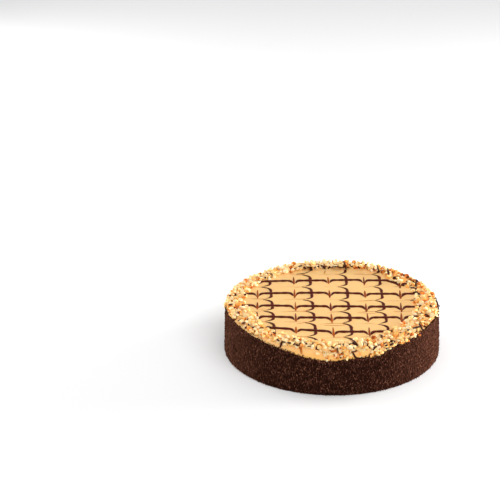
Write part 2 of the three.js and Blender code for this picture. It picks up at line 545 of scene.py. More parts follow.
def finish_piece(
    piece: bpy.types.Object,
    material: bpy.types.Material,
    slot: Slot,
    replaced: Sequence[str] = (),
) -> None:
    """Gives a piece its material, hangs it under the root body and hides the parts that it stands for.

    Args:
        piece: The finished piece.
        material: Its material.
        slot: The record's slot for it. Not used.
        replaced: The nodes that it stands for.
    """
    piece.data.materials.clear()
    piece.data.materials.append(material)
    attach(piece, "root")
    if replaced:
        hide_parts(*replaced)
    log.info("%s: %d vertices", piece.name, len(piece.data.vertices))


def spun_yaw_tilt(yaw: np.ndarray, tilt: np.ndarray, roll: np.ndarray) -> np.ndarray:
    """Rotation matrices that tilt about X, roll about Y, and then turn about Z.

    Args:
        yaw: Turns about Z, in radians.
        tilt: Turns about X.
        roll: Turns about Y.

    Returns:
        An array of 3 by 3 matrices.
    """
    cz, sz = np.cos(yaw), np.sin(yaw)
    cx, sx = np.cos(tilt), np.sin(tilt)
    cy, sy = np.cos(roll), np.sin(roll)
    one, nil = np.ones_like(yaw), np.zeros_like(yaw)

    def stack(rows: Sequence[Sequence[np.ndarray]]) -> np.ndarray:
        """Stacks nine arrays as matrices."""
        return np.stack([np.stack(row, -1) for row in rows], -2)

    about_z = stack([[cz, -sz, nil], [sz, cz, nil], [nil, nil, one]])
    about_x = stack([[one, nil, nil], [nil, cx, -sx], [nil, sx, cx]])
    about_y = stack([[cy, nil, sy], [nil, one, nil], [-sy, nil, cy]])
    return about_z @ about_x @ about_y


@dataclass(frozen=True)
class Grading:
    """How large crumbs or nuts come out, as half lengths in millimetres."""

    middle: float
    spread: float
    least: float
    most: float

    def drawn(self, draw: np.random.Generator, count: int) -> np.ndarray:
        """Half lengths in metres, spread log-normally about the middle one."""
        return np.clip(draw.lognormal(math.log(self.middle), self.spread, count), self.least, self.most) * MM


@dataclass(frozen=True)
class Chunk:
    """One kind of crumb or nut: its corners, its triangles, and a tone for each triangle."""

    corners: np.ndarray
    triangles: np.ndarray
    tones: np.ndarray


def gathered(
    name: str,
    kinds: Sequence[Chunk],
    chosen: np.ndarray,
    places: np.ndarray,
    turns: np.ndarray,
    sizes: np.ndarray,
    tones: np.ndarray,
) -> bpy.types.Object:
    """Joins many turned and scaled copies of a few kinds of chunk in one mesh.

    Args:
        name: The piece's name.
        kinds: The kinds of chunk.
        chosen: The kind of each copy.
        places: The middle of each copy.
        turns: A rotation matrix for each copy.
        sizes: Half the length of each copy.
        tones: What is added to the tone of each copy's faces.

    Returns:
        The joined piece.
    """
    corners: List[np.ndarray] = []
    triangles: List[np.ndarray] = []
    shades: List[np.ndarray] = []
    start = 0
    for index, kind in enumerate(kinds):
        mine = np.flatnonzero(chosen == index)
        turned_corners = np.einsum("nij,vj->nvi", turns[mine], kind.corners)
        moved = turned_corners * sizes[mine, None, None] + places[mine, None, :]
        first = start + np.arange(len(mine)) * len(kind.corners)
        corners.append(moved.reshape(-1, 3))
        triangles.append((kind.triangles[None] + first[:, None, None]).reshape(-1, 3))
        shades.append((kind.tones[None] + tones[mine, None]).ravel())
        start += len(mine) * len(kind.corners)
    mesh = bpy.data.meshes.new(name)
    mesh.from_pydata(np.concatenate(corners), [], np.concatenate(triangles))
    tone = np.clip(np.repeat(np.concatenate(shades), 3), 0.0, 1.0)
    store = mesh.attributes.new("tone", "FLOAT", "CORNER")
    store.data.foreach_set("value", tone.astype(np.float32))
    piece = bpy.data.objects.new(name, mesh)
    bpy.context.scene.collection.objects.link(piece)
    return piece


def taken_chunk(piece: bpy.types.Object, tone_of: Callable[[np.ndarray], np.ndarray]) -> Chunk:
    """Reads a modelled chunk's triangles and removes its object.

    Args:
        piece: The modelled chunk.
        tone_of: Gives each triangle's tone from the triangles' middles.

    Returns:
        The chunk.
    """
    corners = vertex_array(piece)
    triangles = np.array([tuple(face.vertices) for face in piece.data.polygons])
    middles = corners[triangles].mean(axis=1)
    bpy.data.objects.remove(piece)
    return Chunk(corners, triangles, tone_of(middles))


# The torte


@dataclass(frozen=True)
class Form:
    """The torte's driving sizes, and the heights and radii that its pieces share."""

    top: float = 48 * MM
    foot_radius: float = 111.8 * MM
    shoulder_radius: float = 110.2 * MM
    lip_radius: float = 109.5 * MM
    shoulder_start: float = 103.5 * MM
    edge_drop: float = 1.5 * MM
    sags: Humps = ((-94.0, 26.0, 9.2 * MM), (-69.5, 7.0, 3.6 * MM), (-177.0, 9.0, 2.2 * MM))
    drip: float = 1.6 * MM
    drips_around: int = 78
    drips_at: Humps = ((-71.0, 9.0, 1.0),)
    ring_radius: float = 91.5 * MM
    ring_bays: Humps = (
        (-27.0, 32.0, -10.5),
        (-148.0, 20.0, -4.0),
        (-165.0, 13.0, -5.5),
        (38.0, 12.0, -4.0),
        (9.0, 8.0, -4.0),
        (-20.0, 7.0, 4.0),
        (60.0, 15.0, 6.0),
        (-30.0, 8.0, 4.0),
    )
    bare_shares: Humps = ((-109.5, 11.5, 1.6), (-128.0, 6.0, 0.9), (-80.8, 1.5, 1.0), (-73.6, 1.2, 1.0))
    tidy_shares: Humps = (
        (-152.0, 17.0, 1.0),
        (-4.0, 24.0, 0.25),
        (-31.0, 9.0, 0.8),
        (-176.0, 8.0, 0.2),
        (3.0, 10.0, 0.25),
    )
    piled_more: Humps = ((82.0, 34.0, 0.35), (63.0, 8.0, 0.25), (24.0, 13.0, -0.4))
    roasted_share: float = 1.1
    # The hump at 33 degrees browns the nuts at the right back; the one at 98 degrees pales those at the back,
    # which is painted light from behind.
    browning_and_painted_light: Humps = ((33.0, 26.0, 0.9), (98.0, 30.0, -0.8))
    coat_rise: float = 2.1 * MM

    @staticmethod
    def hump(angle: np.ndarray, azimuth: float, width: float) -> np.ndarray:
        """A smooth hump, 1 at its azimuth. The angle is in radians, and the rest in degrees."""
        turn = (np.degrees(angle) - azimuth + 180.0) % 360.0 - 180.0
        return np.exp(-((turn / width) ** 2))

    def along(self, angle: np.ndarray, humps: Humps) -> np.ndarray:
        """The sum of some humps at an angle. Each has its azimuth, width and height."""
        return sum(height * self.hump(angle, azimuth, width) for azimuth, width, height in humps)

    def drop(self, angle: np.ndarray) -> np.ndarray:
        """How far the icing's lower edge lies under the top.

        Args:
            angle: Angles round the torte.

        Returns:
            The drop at each angle.
        """
        waves = 0.35 * MM * (np.sin(3 * angle + 1.1) + np.sin(7 * angle + 0.4))
        drips = 0.5 + 0.5 * np.sin(self.drips_around * angle)
        sag = self.along(angle, self.sags)
        return self.edge_drop + waves + sag + self.drip * drips * self.along(angle, self.drips_at)

    def ring_inside(self, angle: np.ndarray) -> np.ndarray:
        """The radius at which the nuts begin at an angle."""
        return self.ring_radius + self.along(angle, self.ring_bays) * MM

    def bare(self, angle: np.ndarray) -> np.ndarray:
        """How bare of nuts the shoulder is at an angle: 1 where the icing hangs smooth, else 0."""
        return np.clip(self.along(angle, self.bare_shares), 0.0, 1.0)

    def tidy(self, angle: np.ndarray) -> np.ndarray:
        """How far the crumbs reach up to the nuts at an angle: 1 where no nut hangs over them, else 0."""
        return np.clip(self.along(angle, self.tidy_shares), 0.0, 1.0)

    def coat_edge(self, angle: np.ndarray) -> np.ndarray:
        """The height of the crumb coat's upper edge at an angle."""
        return self.top - self.drop(angle) + self.coat_rise * self.tidy(angle)

    def piled(self, angle: np.ndarray) -> np.ndarray:
        """How high the nuts are piled at an angle: 1 as a rule, more at the back, less at the back right."""
        return 1.0 + self.along(angle, self.piled_more)

    def roasted(self, angle: np.ndarray) -> np.ndarray:
        """How many of the nuts are browned at an angle, against the ring as a whole: more at the right back,
        where they are browner, and fewer at the back, where their paleness is painted light from behind.
        """
        return self.roasted_share + self.along(angle, self.browning_and_painted_light)

    def shoulder_radius_at(self, angle: np.ndarray, height: np.ndarray) -> np.ndarray:
        """The radius of the icing's shoulder at an angle and a height, and of its lip below that."""
        risen = np.clip(1.0 - (self.top - height) / self.drop(angle), 0.0, 1.0)
        return self.shoulder_start + (self.lip_radius - self.shoulder_start) * np.sqrt(1.0 - risen**2)

    def surface(self, x: np.ndarray, y: np.ndarray) -> np.ndarray:
        """The height of the icing's surface.

        Args:
            x: Places along X.
            y: Places along Y.

        Returns:
            The height at each place.
        """
        radius, angle = np.hypot(x, y), np.arctan2(y, x)
        run = (radius - self.shoulder_start) / (self.lip_radius - self.shoulder_start)
        run = np.clip(run, 0.0, 0.995)
        return self.top - self.drop(angle) * (1.0 - np.sqrt(1.0 - run**2))


@dataclass
class CrumbCoat:
    """The drum's side in its coat of crumbs, down to the flat base."""

    form: Form
    finish: CrumbFinish = field(default_factory=CrumbFinish)
    around: int = 1040
    rows: int = 66
    chamfer: float = 1.0 * MM
    loose_crumbs: int = 8200
    grading: Grading = Grading(middle=0.5, spread=0.36, least=0.25, most=1.2)
    rim_share: float = 0.36
    climb: float = 2.0 * MM
    climb_more: Humps = ((-52.0, 22.0, 0.8), (-112.0, 18.0, 0.4))
    squeeze: float = 0.34
    kinds: int = 7
    seed: int = 31

    def build(self) -> None:
        """Builds the coat and the crumbs that stand out of it."""
        material = self.finish.material()
        finish_piece(self._coat(), material, Slot.CRUMB, ["crumb_coated_cake"])
        finish_piece(self._crumbs(), material, Slot.CRUMB)

    def _coat(self) -> bpy.types.Object:
        """The drum, closed below and under the icing, with its side roughened.

        Returns:
            The piece.
        """
        form = self.form
        rings = [(form.foot_radius - self.chamfer, 0.0)]
        for share in np.linspace(0.0, 1.0, self.rows):
            radius = form.foot_radius + share * (form.shoulder_radius - form.foot_radius)
            rings.append((radius, self.chamfer + share * (form.top - self.chamfer)))
        rings.append((form.lip_radius - 0.6 * MM, form.top))
        rings.append((form.shoulder_start - 4 * MM, form.top - 4 * MM))
        coat = turned("crumb_coat", rings, self.around)
        self._follow_edge(coat)
        roughened(coat, "CLOUDS", 7.0 * MM, 0.8 * MM)
        self._stretch(coat, self.squeeze)
        roughened(coat, "CLOUDS", 1.0 * MM, 1.1 * MM)
        self._stretch(coat, 1.0 / self.squeeze)
        self._flatten_base(coat)
        return coat

    def _follow_edge(self, coat: bpy.types.Object) -> None:
        """Draws the coat's upper rows down to the icing's wavy edge.

        Args:
            coat: The coat, still even at its top.
        """
        places = vertex_array(coat)
        angle = azimuths(places)
        share = np.clip(places[:, 2] / self.form.top, 0.0, 1.0)
        side = np.hypot(places[:, 0], places[:, 1]) > self.form.lip_radius - 1.0 * MM
        places[:, 2] -= np.where(side, share * (self.form.top - self.form.coat_edge(angle)), 0.0)
        inner = (~side) & (places[:, 2] > 1 * MM)
        places[:, 2] = np.where(inner, self.form.top - 9 * MM, places[:, 2])
        put_vertices(coat, places)

    @staticmethod
    def _stretch(coat: bpy.types.Object, share: float) -> None:
        """Scales the coat's height, so that what is roughened in between comes out longer upright."""
        put_vertices(coat, vertex_array(coat) * np.array([1.0, 1.0, share]))

    @staticmethod
    def _flatten_base(coat: bpy.types.Object) -> None:
        """Keeps the base flat on the ground after the side was roughened.

        Args:
            coat: The roughened coat.
        """
        places = vertex_array(coat)
        places[places[:, 2] < 0.4 * MM, 2] = 0.0
        put_vertices(coat, places)

    def _crumb_kinds(self) -> List[Chunk]:
        """Models a few small angular crumbs.

        Returns:
            One chunk for each kind.
        """
        kinds = []
        for index in range(self.kinds):
            begin()
            bpy.ops.mesh.primitive_ico_sphere_add(subdivisions=1, radius=1.0)
            crumb = take_active(f"crumb_{index}")
            bpy.ops.object.mode_set(mode="EDIT")
            bpy.ops.mesh.select_all(action="SELECT")
            bpy.ops.transform.vertex_random(offset=0.45, uniform=1.0, normal=0.0, seed=index)
            bpy.ops.transform.resize(value=(0.5, 0.5, 1.7))
            bpy.ops.object.mode_set(mode="OBJECT")
            kinds.append(taken_chunk(crumb, lambda middles: 0.5 * np.ones(len(middles))))
        return kinds

    def _crumbs(self) -> bpy.types.Object:
        """Crumbs half sunk in the side, closer together at the rim, where some cling to the icing.

        Returns:
            The piece.
        """
        draw = np.random.default_rng(self.seed)
        form, count = self.form, self.loose_crumbs
        angle = draw.uniform(-math.pi, math.pi, count)
        edge = form.coat_edge(angle)
        share = draw.uniform(0.0, 1.0, count)
        rim = draw.uniform(0.0, 1.0, count) < self.rim_share
        size = self.grading.drawn(draw, count)
        climb = self.climb * (0.35 + 0.8 * form.tidy(angle) + form.along(angle, self.climb_more))
        above = draw.uniform(-2.4 * MM, climb)
        highest = np.maximum(form.top, edge)
        height = np.maximum(np.where(rim, np.minimum(edge + above, highest), share * edge), size)
        side = form.foot_radius + height / form.top * (form.shoulder_radius - form.foot_radius)
        lip = form.shoulder_radius_at(angle, height)
        radius = np.where(height > edge, lip + 0.25 * size, side + 0.1 * MM)
        radius = radius - np.where(rim & (height < edge), draw.uniform(0.0, 0.8, count), 0.0) * MM
        places = round_about(radius, angle, height)
        tilt, roll = draw.normal(0.0, 0.32, (2, count))
        turns = spun_yaw_tilt(draw.uniform(-math.pi, math.pi, count), tilt, roll)
        tones = draw.normal(0.06, 0.26, count)
        chosen = draw.integers(0, self.kinds, count)
        crumbs = gathered("loose_crumbs", self._crumb_kinds(), chosen, places, turns, size, tones)
        corners = vertex_array(crumbs)
        corners[:, 2] = np.maximum(corners[:, 2], 0.0)
        put_vertices(crumbs, corners)
        return crumbs


@dataclass
class IcingCap:
    """The icing: level on top, rounded over the shoulder down to its wavy lower edge."""

    form: Form
    finish: IcingFinish = field(default_factory=IcingFinish)
    around: int = 480
    lip_rows: int = 12
    top_rows: int = 26
    thickness: float = 3 * MM

    def build(self) -> None:
        """Builds the cap."""
        form = self.form
        bend = np.linspace(math.pi / 2, 0.0, self.lip_rows)
        run = form.lip_radius - form.shoulder_start
        rings = [(form.shoulder_start - 2 * MM, form.top - 2 * self.thickness)]
        rings += [(form.shoulder_start + run * math.sin(t), form.top) for t in bend]
        rings += [(r, form.top) for r in np.linspace(form.shoulder_start, 2 * MM, self.top_rows)[1:]]
        cap = turned("icing_cap", rings, self.around)
        places = vertex_array(cap)
        radius = np.hypot(places[:, 0], places[:, 1])
        above = places[:, 2] > form.top - self.thickness
        draped = form.surface(places[:, 0], places[:, 1])
        outermost = radius > form.lip_radius - 0.01 * MM
        low = form.top - form.drop(azimuths(places)) - 0.4 * MM
        places[:, 2] = np.where(above, np.where(outermost, low, draped), places[:, 2])
        put_vertices(cap, places)
        roughened(cap, "CLOUDS", 22 * MM, 0.35 * MM)
        bpy.ops.object.shade_smooth_by_angle(angle=math.radians(60))
        finish_piece(cap, self.finish.material(), Slot.ICING, ["iced_top"])


@dataclass(frozen=True)
class Stroke:
    """One drawn line: its places, its half width at each and, where it lies on nuts, its heights."""

    places: np.ndarray
    widths: np.ndarray
    levels: Optional[np.ndarray] = None


@dataclass(frozen=True)
class Tail:
    """How one end of a length of line was dragged aside, in millimetres."""

    pull: float
    reach: float
    bend: float
    gap: float
    thin_over: float
    tip: float = 0.18

    def aside(self, near: np.ndarray) -> np.ndarray:
        """How far aside the line lies at a distance from its end."""
        return self.pull * np.clip(1.0 - near / self.reach, 0.0, 1.0) ** self.bend

    def thinned(self, near: np.ndarray) -> np.ndarray:
        """The share of its width that the line keeps at a distance from its end."""
        return self.tip + (1.0 - self.tip) * np.clip(near / self.thin_over, 0.0, 1.0) ** 0.8


@dataclass
class FeatheredLines:
    """Chocolate lines drawn across the icing and dragged into points."""

    form: Form
    row_tail: Tail = Tail(pull=6.8, reach=4.8, bend=2.4, gap=1.6, thin_over=2.9)
    front_tail: Tail = Tail(pull=6.6, reach=8.0, bend=3.6, gap=1.2, thin_over=4.4, tip=0.38)
    back_tail: Tail = Tail(pull=8.4, reach=11.5, bend=3.5, gap=0.9, thin_over=5.0, tip=0.5)
    row_half_width: float = 2.55
    column_half_width: float = 1.6
    rows: Tuple[Tuple[Place, ...], ...] = (
        ((-40, 99), (40, 99)),
        ((-75, 60), (-40, 61), (30, 61), (43, 59.5), (62, 59), (69, 53.5), (85, 48)),
        ((-95, 28), (-49, 29), (0, 28.5), (45, 24), (100, 23)),
        ((-100, -0.5), (-80, -1.4), (-40, -4), (65, -9), (100, -10)),
        ((-77, -28.6), (-71, -29), (-30, -32.5), (25, -35), (63, -34.5), (100, -33)),
        ((-90, -54.5), (-59, -56.5), (-26, -62.5), (0, -66.5), (12, -67.3), (60, -67.5), (90, -66)),
        ((-57, -87), (-54, -87.5), (-27, -94), (0, -97), (60, -95)),
    )
    row_drags: Tuple[Place, ...] = (
        (-113, -113), (-77.6, -76.1), (-38.9, -37.2), (-2.1, -0.4), (33.5, 37.4), (67.5, 75.4), (107, 111)
    )
    columns: Tuple[Tuple[Place, ...], ...] = (
        ((-100, -60), (-100, 60)),
        ((-60.6, -75), (-61.1, -20), (-63.1, 60), (-63.1, 90)),
        ((-19.6, -105), (-19.6, -20), (-19.7, 60), (-19.2, 78)),
        ((15.9, -105), (16.9, -20), (18.9, 60), (19.5, 89)),
        ((52.9, -95), (53.1, -20), (54.7, 60), (55.9, 95)),
        ((91, -60), (91, 60)),
    )
    column_drags: Tuple[Place, ...] = (
        (-110, -110), (-75, -81), (-41, -50.5), (-15, -20), (14, 7.5), (46, 43), (78, 76), (112, 112)
    )
    drags_known_at: Place = (-60, 60)
    over_nuts: Tuple[Mark, ...] = (
        (1.6, ((-22, 89, 51.7), (-17, 89, 51.8))),
        (0.9, ((-17, 89, 51.1), (-16.5, 88.5, 48.2), (-19, 86, 48.2))),
        (0.7, ((-19, 86, 48.2), (-24.5, 80.5, 48.2), (-34, 78.5, 48.2))),
        (1.9, ((-13.5, 89, 52), (-13, 88.5, 51))),
        (1.7, ((-7, 93.5, 51.9), (-4, 92.5, 50.9), (-0.5, 92, 50.3))),
        (1.7, ((4.5, 93.5, 48.9), (8.5, 89.5, 52), (12.5, 90, 50.8), (18.5, 91.5, 50), (24.5, 91, 50.2))),
        (0.8, ((19, 98.5, 53), (20, 91, 52), (20.5, 86.5, 48.2))),
        (1.2, ((-31.5, 87.5, 52.9), (-26.5, 93, 52.8))),
        (1.4, ((93, 57, 49.6), (94, 50.5, 50.7), (92, 44.5, 50.4))),
        (1.0, ((92, 44.5, 50.4), (91.5, 39.5, 49.1))),
        (1.5, ((84.5, 62, 49.6), (86, 64, 50.3))),
        (0.9, ((82.5, 53, 49.8), (82.5, 50, 50))),
        (1.2, ((80, 66.5, 51.3), (82, 65.5, 50.8))),
        (1.0, ((-62.5, 74, 51.7), (-60, 69, 51))),
        (0.8, ((54, 87, 53.8), (55, 78.5, 52.1), (56, 77, 49.4))),
        (1.2, ((65, 82.5, 51.6), (65, 71.5, 52.6), (65, 64.5, 51.9))),
        (1.3, ((85.5, 33.5, 49.8), (89.5, 37, 49.5))),
        (2.2, ((90.5, 15, 51.4), (93.5, 15.5, 51.1))),
        (1.5, ((102, 9, 51.9), (102.5, 5.5, 52.4))),
        (1.2, ((106, 4.5, 51.1), (109.5, 7, 49.5))),
        (1.2, ((109.5, -5, 47.3), (111.5, -6.5, 46.6))),
        (2.1, ((82.5, -37, 50.6), (85.5, -40.5, 51.5))),
        (1.5, ((93, -32.5, 50.3), (95.5, -35.5, 49.9))),
        (1.3, ((82, -49.5, 52), (84, -48.5, 51.1))),
        (1.2, ((84, -58, 51.9), (85, -63.5, 51.7), (86.5, -67.5, 49.2))),
        (1.8, ((77, -70, 52.2), (80.5, -67, 51.8), (84.5, -65, 51.7))),
        (1.3, ((71, -73.5, 51.5), (72.5, -71, 51.7))),
        (0.8, ((103.5, -33.5, 48.5), (103, -35.5, 47.8))),
        (1.7, ((-90.5, 17.5, 52.5), (-88.5, 16.5, 51.5))),
        (1.5, ((-106.5, 16.5, 51.9), (-104.5, 13, 52.4))),
        (1.7, ((-107, -8.5, 51.8), (-102.5, -7.5, 52.5))),
        (0.9, ((-97, -25, 51.9), (-96, -30, 51.8))),
        (2.4, ((-92.5, -47.5, 50), (-90, -49.5, 50.4))),
        (0.9, ((-86.5, -53.5, 51.5), (-86, -57.5, 51.6))),
        (0.8, ((-78, -19, 48.2), (-77, -22, 48.2))),
        (1.3, ((-68.5, -63, 52.1), (-66.5, -58.5, 50.9), (-62.5, -55, 48.2))),
        (1.2, ((-62, -74.5, 52.1), (-59.5, -77.5, 51.5))),
        (1.4, ((-58.5, -89, 51.6), (-56.5, -93.5, 51.3))),
        (1.2, ((-55, -94.5, 46.6), (-54.5, -94, 49.3), (-53, -93, 50.6), (-50.5, -96, 51.2))),
        (1.8, ((-47.5, -96, 51.2), (-46, -99.5, 51.6))),
        (1.6, ((-41.5, -99.5, 51.1), (-39.5, -98.5, 49.7), (-38, -102, 49.8))),
        (1.4, ((-29, -104, 50.6), (-26, -106.5, 51.8))),
        (1.2, ((-43, -90.5, 52.1), (-40.5, -90.5, 52.9))),
        (1.5, ((34.5, -106, 46.7), (35.5, -105.5, 48.5), (38, -102.5, 49))),
        (1.8, ((46.5, -101, 48.6), (49, -100, 49.1))),
        (1.8, ((52, -99.5, 48.2), (54.5, -95.5, 48.7))),
        (1.1, ((42.5, -80.5, 50.6), (45, -81, 50.3), (43.5, -89.5, 52))),
        (0.6, ((-0.5, -108, 50.6), (0, -111.5, 46.5))),
        (1.0, ((2.5, -111.5, 46.5), (5.5, -111.5, 46.5))),
        (0.7, ((55.5, -67, 49.6), (57, -70, 51.7))),
        (1.2, ((14, -85, 48.2), (16.5, -95.5, 51.7), (18.5, -101, 50.9), (19.5, -103.5, 50.2))),
        (1.1, ((17.5, -110, 49.2), (19, -107.5, 46.4))),
        (1.2, ((12.5, -110.5, 46.7), (14.5, -110.5, 47.2), (17.5, -110, 47.2))),
    )
    long_trails: Tuple[Mark, ...] = (
        (0.7, ((-10.3, -52.1), (2.3, -52.4), (10, -52.6))),
        (0.6, ((24.5, -22.9), (30.4, -23), (41, -25.4), (47, -22.8))),
        (0.6, ((-27.3, -43.7), (-34.2, -46.9), (-38.1, -47.5))),
        (0.6, ((-68.4, -10.2), (-76.3, -11.9))),
        (0.8, ((-2.4, 87), (-3.4, 79))),
    )
    dark_runs: Tuple[Mark, ...] = (
        (1.0, ((-82.4, 45.2), (-81.4, 41.6), (-80.5, 38.9), (-79.5, 35.1))),
        (1.1, ((-120.6, 48.0), (-120.4, 47.0), (-120.5, 45.2))),
        (0.6, ((-77.8, 41.5), (-78.2, 36))),
        (0.7, ((-73.8, 42), (-73.6, 38.5))),
    )
    brown_runs: Tuple[Mark, ...] = (
        (1.1, ((-110.4, 48.0), (-109.2, 46.6), (-108.8, 44.7), (-108.5, 42.6))),
        (0.6, ((-94.6, 48.0), (-92.9, 46), (-91.1, 40.6))),
        (0.8, ((-84.5, 46.2), (-82.1, 45.4), (-80, 45.8))),
    )
    unevenness: float = 0.16
    flatness: float = 0.3
    run_lift: float = 0.9 * MM
    steps: int = 34

    def build(self) -> List[Stroke]:
        """Builds the dark lines and the thin browner marks that the dragging left.

        Returns:
            The dark strokes, so that the nuts can leave them showing.
        """
        chocolate = ChocolateFinish("dark_chocolate", (0.06, 0.003, 0.0002), (0.115, 0.011, 0.0006))
        stray = ChocolateFinish("chocolate_over_nuts", (0.028, 0.006, 0.003), (0.09, 0.014, 0.004))
        smear = ChocolateFinish("smeared_chocolate", (0.16, 0.014, 0.001), (0.5, 0.11, 0.009), 0.45, 2.2)
        trail = ChocolateFinish("trailed_chocolate", (0.56, 0.21, 0.05), (0.74, 0.38, 0.13), 0.45)
        thin = ChocolateFinish("thin_smear", (0.36, 0.07, 0.008), (0.7, 0.26, 0.05), 0.45)
        dark, over = self.dark_strokes(), self._drawn(self.over_nuts)
        on_icing, on_nuts = self._on(self.form.surface), self._on(self._nearest_level(over))
        for name, strokes, finish, lay in (
            ("chocolate_lines", dark, chocolate, on_icing),
            ("drag_marks", self._dashes(), smear, on_icing),
            ("drag_trails", self._trails(), trail, on_icing),
            ("brown_runs", self._unrolled(self.brown_runs), thin, self._down_shoulder),
            ("dark_runs", self._unrolled(self.dark_runs), stray, self._down_shoulder),
            ("lines_over_nuts", over, stray, on_nuts),
        ):
            finish_piece(self._beads(name, strokes, lay), finish.material(), Slot.CHOCOLATE)
        return dark

    def _drawn(self, marks: Sequence[Mark]) -> List[Stroke]:
        """Strokes through given places, with rounded ends.

        Args:
            marks: The half width and the places of each, in millimetres, with a height or without.

        Returns:
            The strokes.
        """
        strokes = []
        for half_width, corners in marks:
            points = np.array(corners)
            steps = np.linspace(0.0, len(points) - 1.0, 4 * len(points))
            xs, ys, *levels = (np.interp(steps, np.arange(len(points)), axis) for axis in points.T)
            fullness = np.sin(math.pi * (0.12 + 0.76 * steps / steps[-1])) ** 0.5
            strokes.append(self._stroke(xs, ys, half_width * fullness, *levels))
        return strokes

    @staticmethod
    def _nearest_level(strokes: Sequence[Stroke]) -> Level:
        """A surface that has everywhere the height of the nearest stroke.

        Args:
            strokes: Strokes that hold their own heights.

        Returns:
            The height as a function of the place.
        """
        line = np.concatenate([stroke.places for stroke in strokes])
        level = np.concatenate([stroke.levels for stroke in strokes])

        def at(x: np.ndarray, y: np.ndarray) -> np.ndarray:
            """The height at each place."""
            away = np.hypot(x[:, None] - line[:, 0], y[:, None] - line[:, 1])
            return level[away.argmin(axis=1)]

        return at

    def _unrolled(self, runs: Sequence[Mark]) -> List[Stroke]:
        """Strokes through given azimuths and heights, as they lie when the shoulder is unrolled."""
        arc = math.radians(self.form.lip_radius / MM)
        return self._drawn([(width, tuple((arc * turn, up) for turn, up in run)) for width, run in runs])

    def _on(self, surface: Level) -> Lay:
        """Finds how a flat piece is laid on a surface.

        Args:
            surface: Gives the height at a place.

        Returns:
            What lifts each of a piece's places on to the surface.
        """

        def lay(places: np.ndarray) -> np.ndarray:
            """Lifts each place on to the surface."""
            x, y, thickness = places.T
            return np.stack([x, y, surface(x, y) + self.flatness * thickness], -1)

        return lay

    def _down_shoulder(self, places: np.ndarray) -> np.ndarray:
        """Wraps a flat piece round the icing's shoulder.

        Args:
            places: The piece's places: along the edge, up, and out.

        Returns:
            The places on the shoulder.
        """
        along, height, thickness = places.T
        angle = along / self.form.lip_radius
        radius = self.form.shoulder_radius_at(angle, height) + self.run_lift + self.flatness * thickness
        return round_about(radius, angle, height)

    def dark_strokes(self) -> List[Stroke]:
        """Every scallop of every row and column.

        Returns:
            The strokes.
        """
        strokes: List[Stroke] = []
        for row in self.rows:
            strokes += self._scallops(row, self.row_drags, (self.row_tail, self.row_tail), self.row_half_width)
        for column in self.columns:
            line, tails = [(y, x) for x, y in column], (self.front_tail, self.back_tail)
            lengths = self._scallops(line, self.column_drags, tails, self.column_half_width)
            strokes += [Stroke(stroke.places[:, ::-1], stroke.widths) for stroke in lengths]
        return [stroke for stroke in strokes if len(stroke.places) > 3]

    def _scallops(
        self,
        line: Sequence[Place],
        drags: Sequence[Place],
        tails: Tuple[Tail, Tail],
        half_width: float,
    ) -> List[Stroke]:
        """Cuts one line at its drag points and bends each length between two of them.

        Args:
            line: Places along the line and its level at each, in millimetres.
            drags: Where every such line is dragged, at the two levels in `drags_known_at`.
            tails: How each length's first and last end are dragged.
            half_width: Half the line's width where it was not dragged.

        Returns:
            The strokes, each place as its distance along the line and its level.
        """
        points = np.array(line)
        ends = [self._stop(points, drag) for drag in drags]
        draw = np.random.default_rng(int(abs(points).sum()))
        strokes = []
        for first, last in zip(ends[:-1], ends[1:]):
            eased = 0.5 - 0.5 * np.cos(np.linspace(0.0, math.pi, self.steps))
            length = last - first - tails[0].gap - tails[1].gap
            since, until = length * eased, length * (1.0 - eased)
            along = first + tails[0].gap + since
            level = np.interp(along, points[:, 0], points[:, 1])
            pulls = 1.0 + draw.uniform(-self.unevenness, self.unevenness, 2)
            across = level - pulls[0] * tails[0].aside(since) - pulls[1] * tails[1].aside(until)
            width = half_width * np.minimum(tails[0].thinned(since), tails[1].thinned(until))
            width = width * (1.0 + 0.12 * np.sin(along * 0.7 + level))
            inside = (along >= points[0, 0]) & (along <= points[-1, 0])
            places = np.stack([along, across], -1) * MM
            inside &= np.hypot(places[:, 0], places[:, 1]) < self.form.lip_radius - 0.8 * MM
            strokes.append(Stroke(places[inside], width[inside] * MM))
        return strokes

    def _stop(self, points: np.ndarray, drag: Place) -> float:
        """Where a drag crosses a line, as a distance along the line."""
        level = np.interp(sum(drag) / 2, points[:, 0], points[:, 1])
        return float(np.interp(level, self.drags_known_at, drag))

    def _dashes(self) -> List[Stroke]:
        """A reddish mark along each drag of a row, which draws the ends of the row down to its tip.

        Returns:
            The strokes on open icing.
        """
        draw = np.random.default_rng(12)
        dashes = []
        share = np.linspace(0.0, 1.0, 9)
        tail = self.row_tail
        for row in self.rows[1:]:
            points = np.array(row)
            for drag in self.row_drags[1:-1]:
                x = self._stop(points, drag) + draw.normal(0.0, 0.2)
                level = np.interp(x, points[:, 0], points[:, 1])
                top, bottom = level + draw.uniform(6.0, 11.0), level - draw.uniform(9.5, 14.0)
                lean = (drag[1] - drag[0]) / np.ptp(self.drags_known_at)
                xs = x + (top - level + share * (bottom - top)) * lean + share * draw.normal(0.0, 0.3)
                fullness = (0.75 + 0.4 * share) * np.sin(math.pi * (0.08 + 0.84 * share)) ** 0.6
                widths = draw.uniform(0.95, 1.3) * fullness
                dashes.append(self._stroke(xs, top + share * (bottom - top), widths))
                for side in (-1.0, 1.0):
                    aside = side * tail.gap * (1.0 - share) ** 2
                    start = level - 0.8 * tail.pull
                    ys = start + share * (bottom - start)
                    dashes.append(self._stroke(x + aside, ys, 0.8 * (1.0 - 0.7 * share)))
        return self._on_open_icing(dashes)

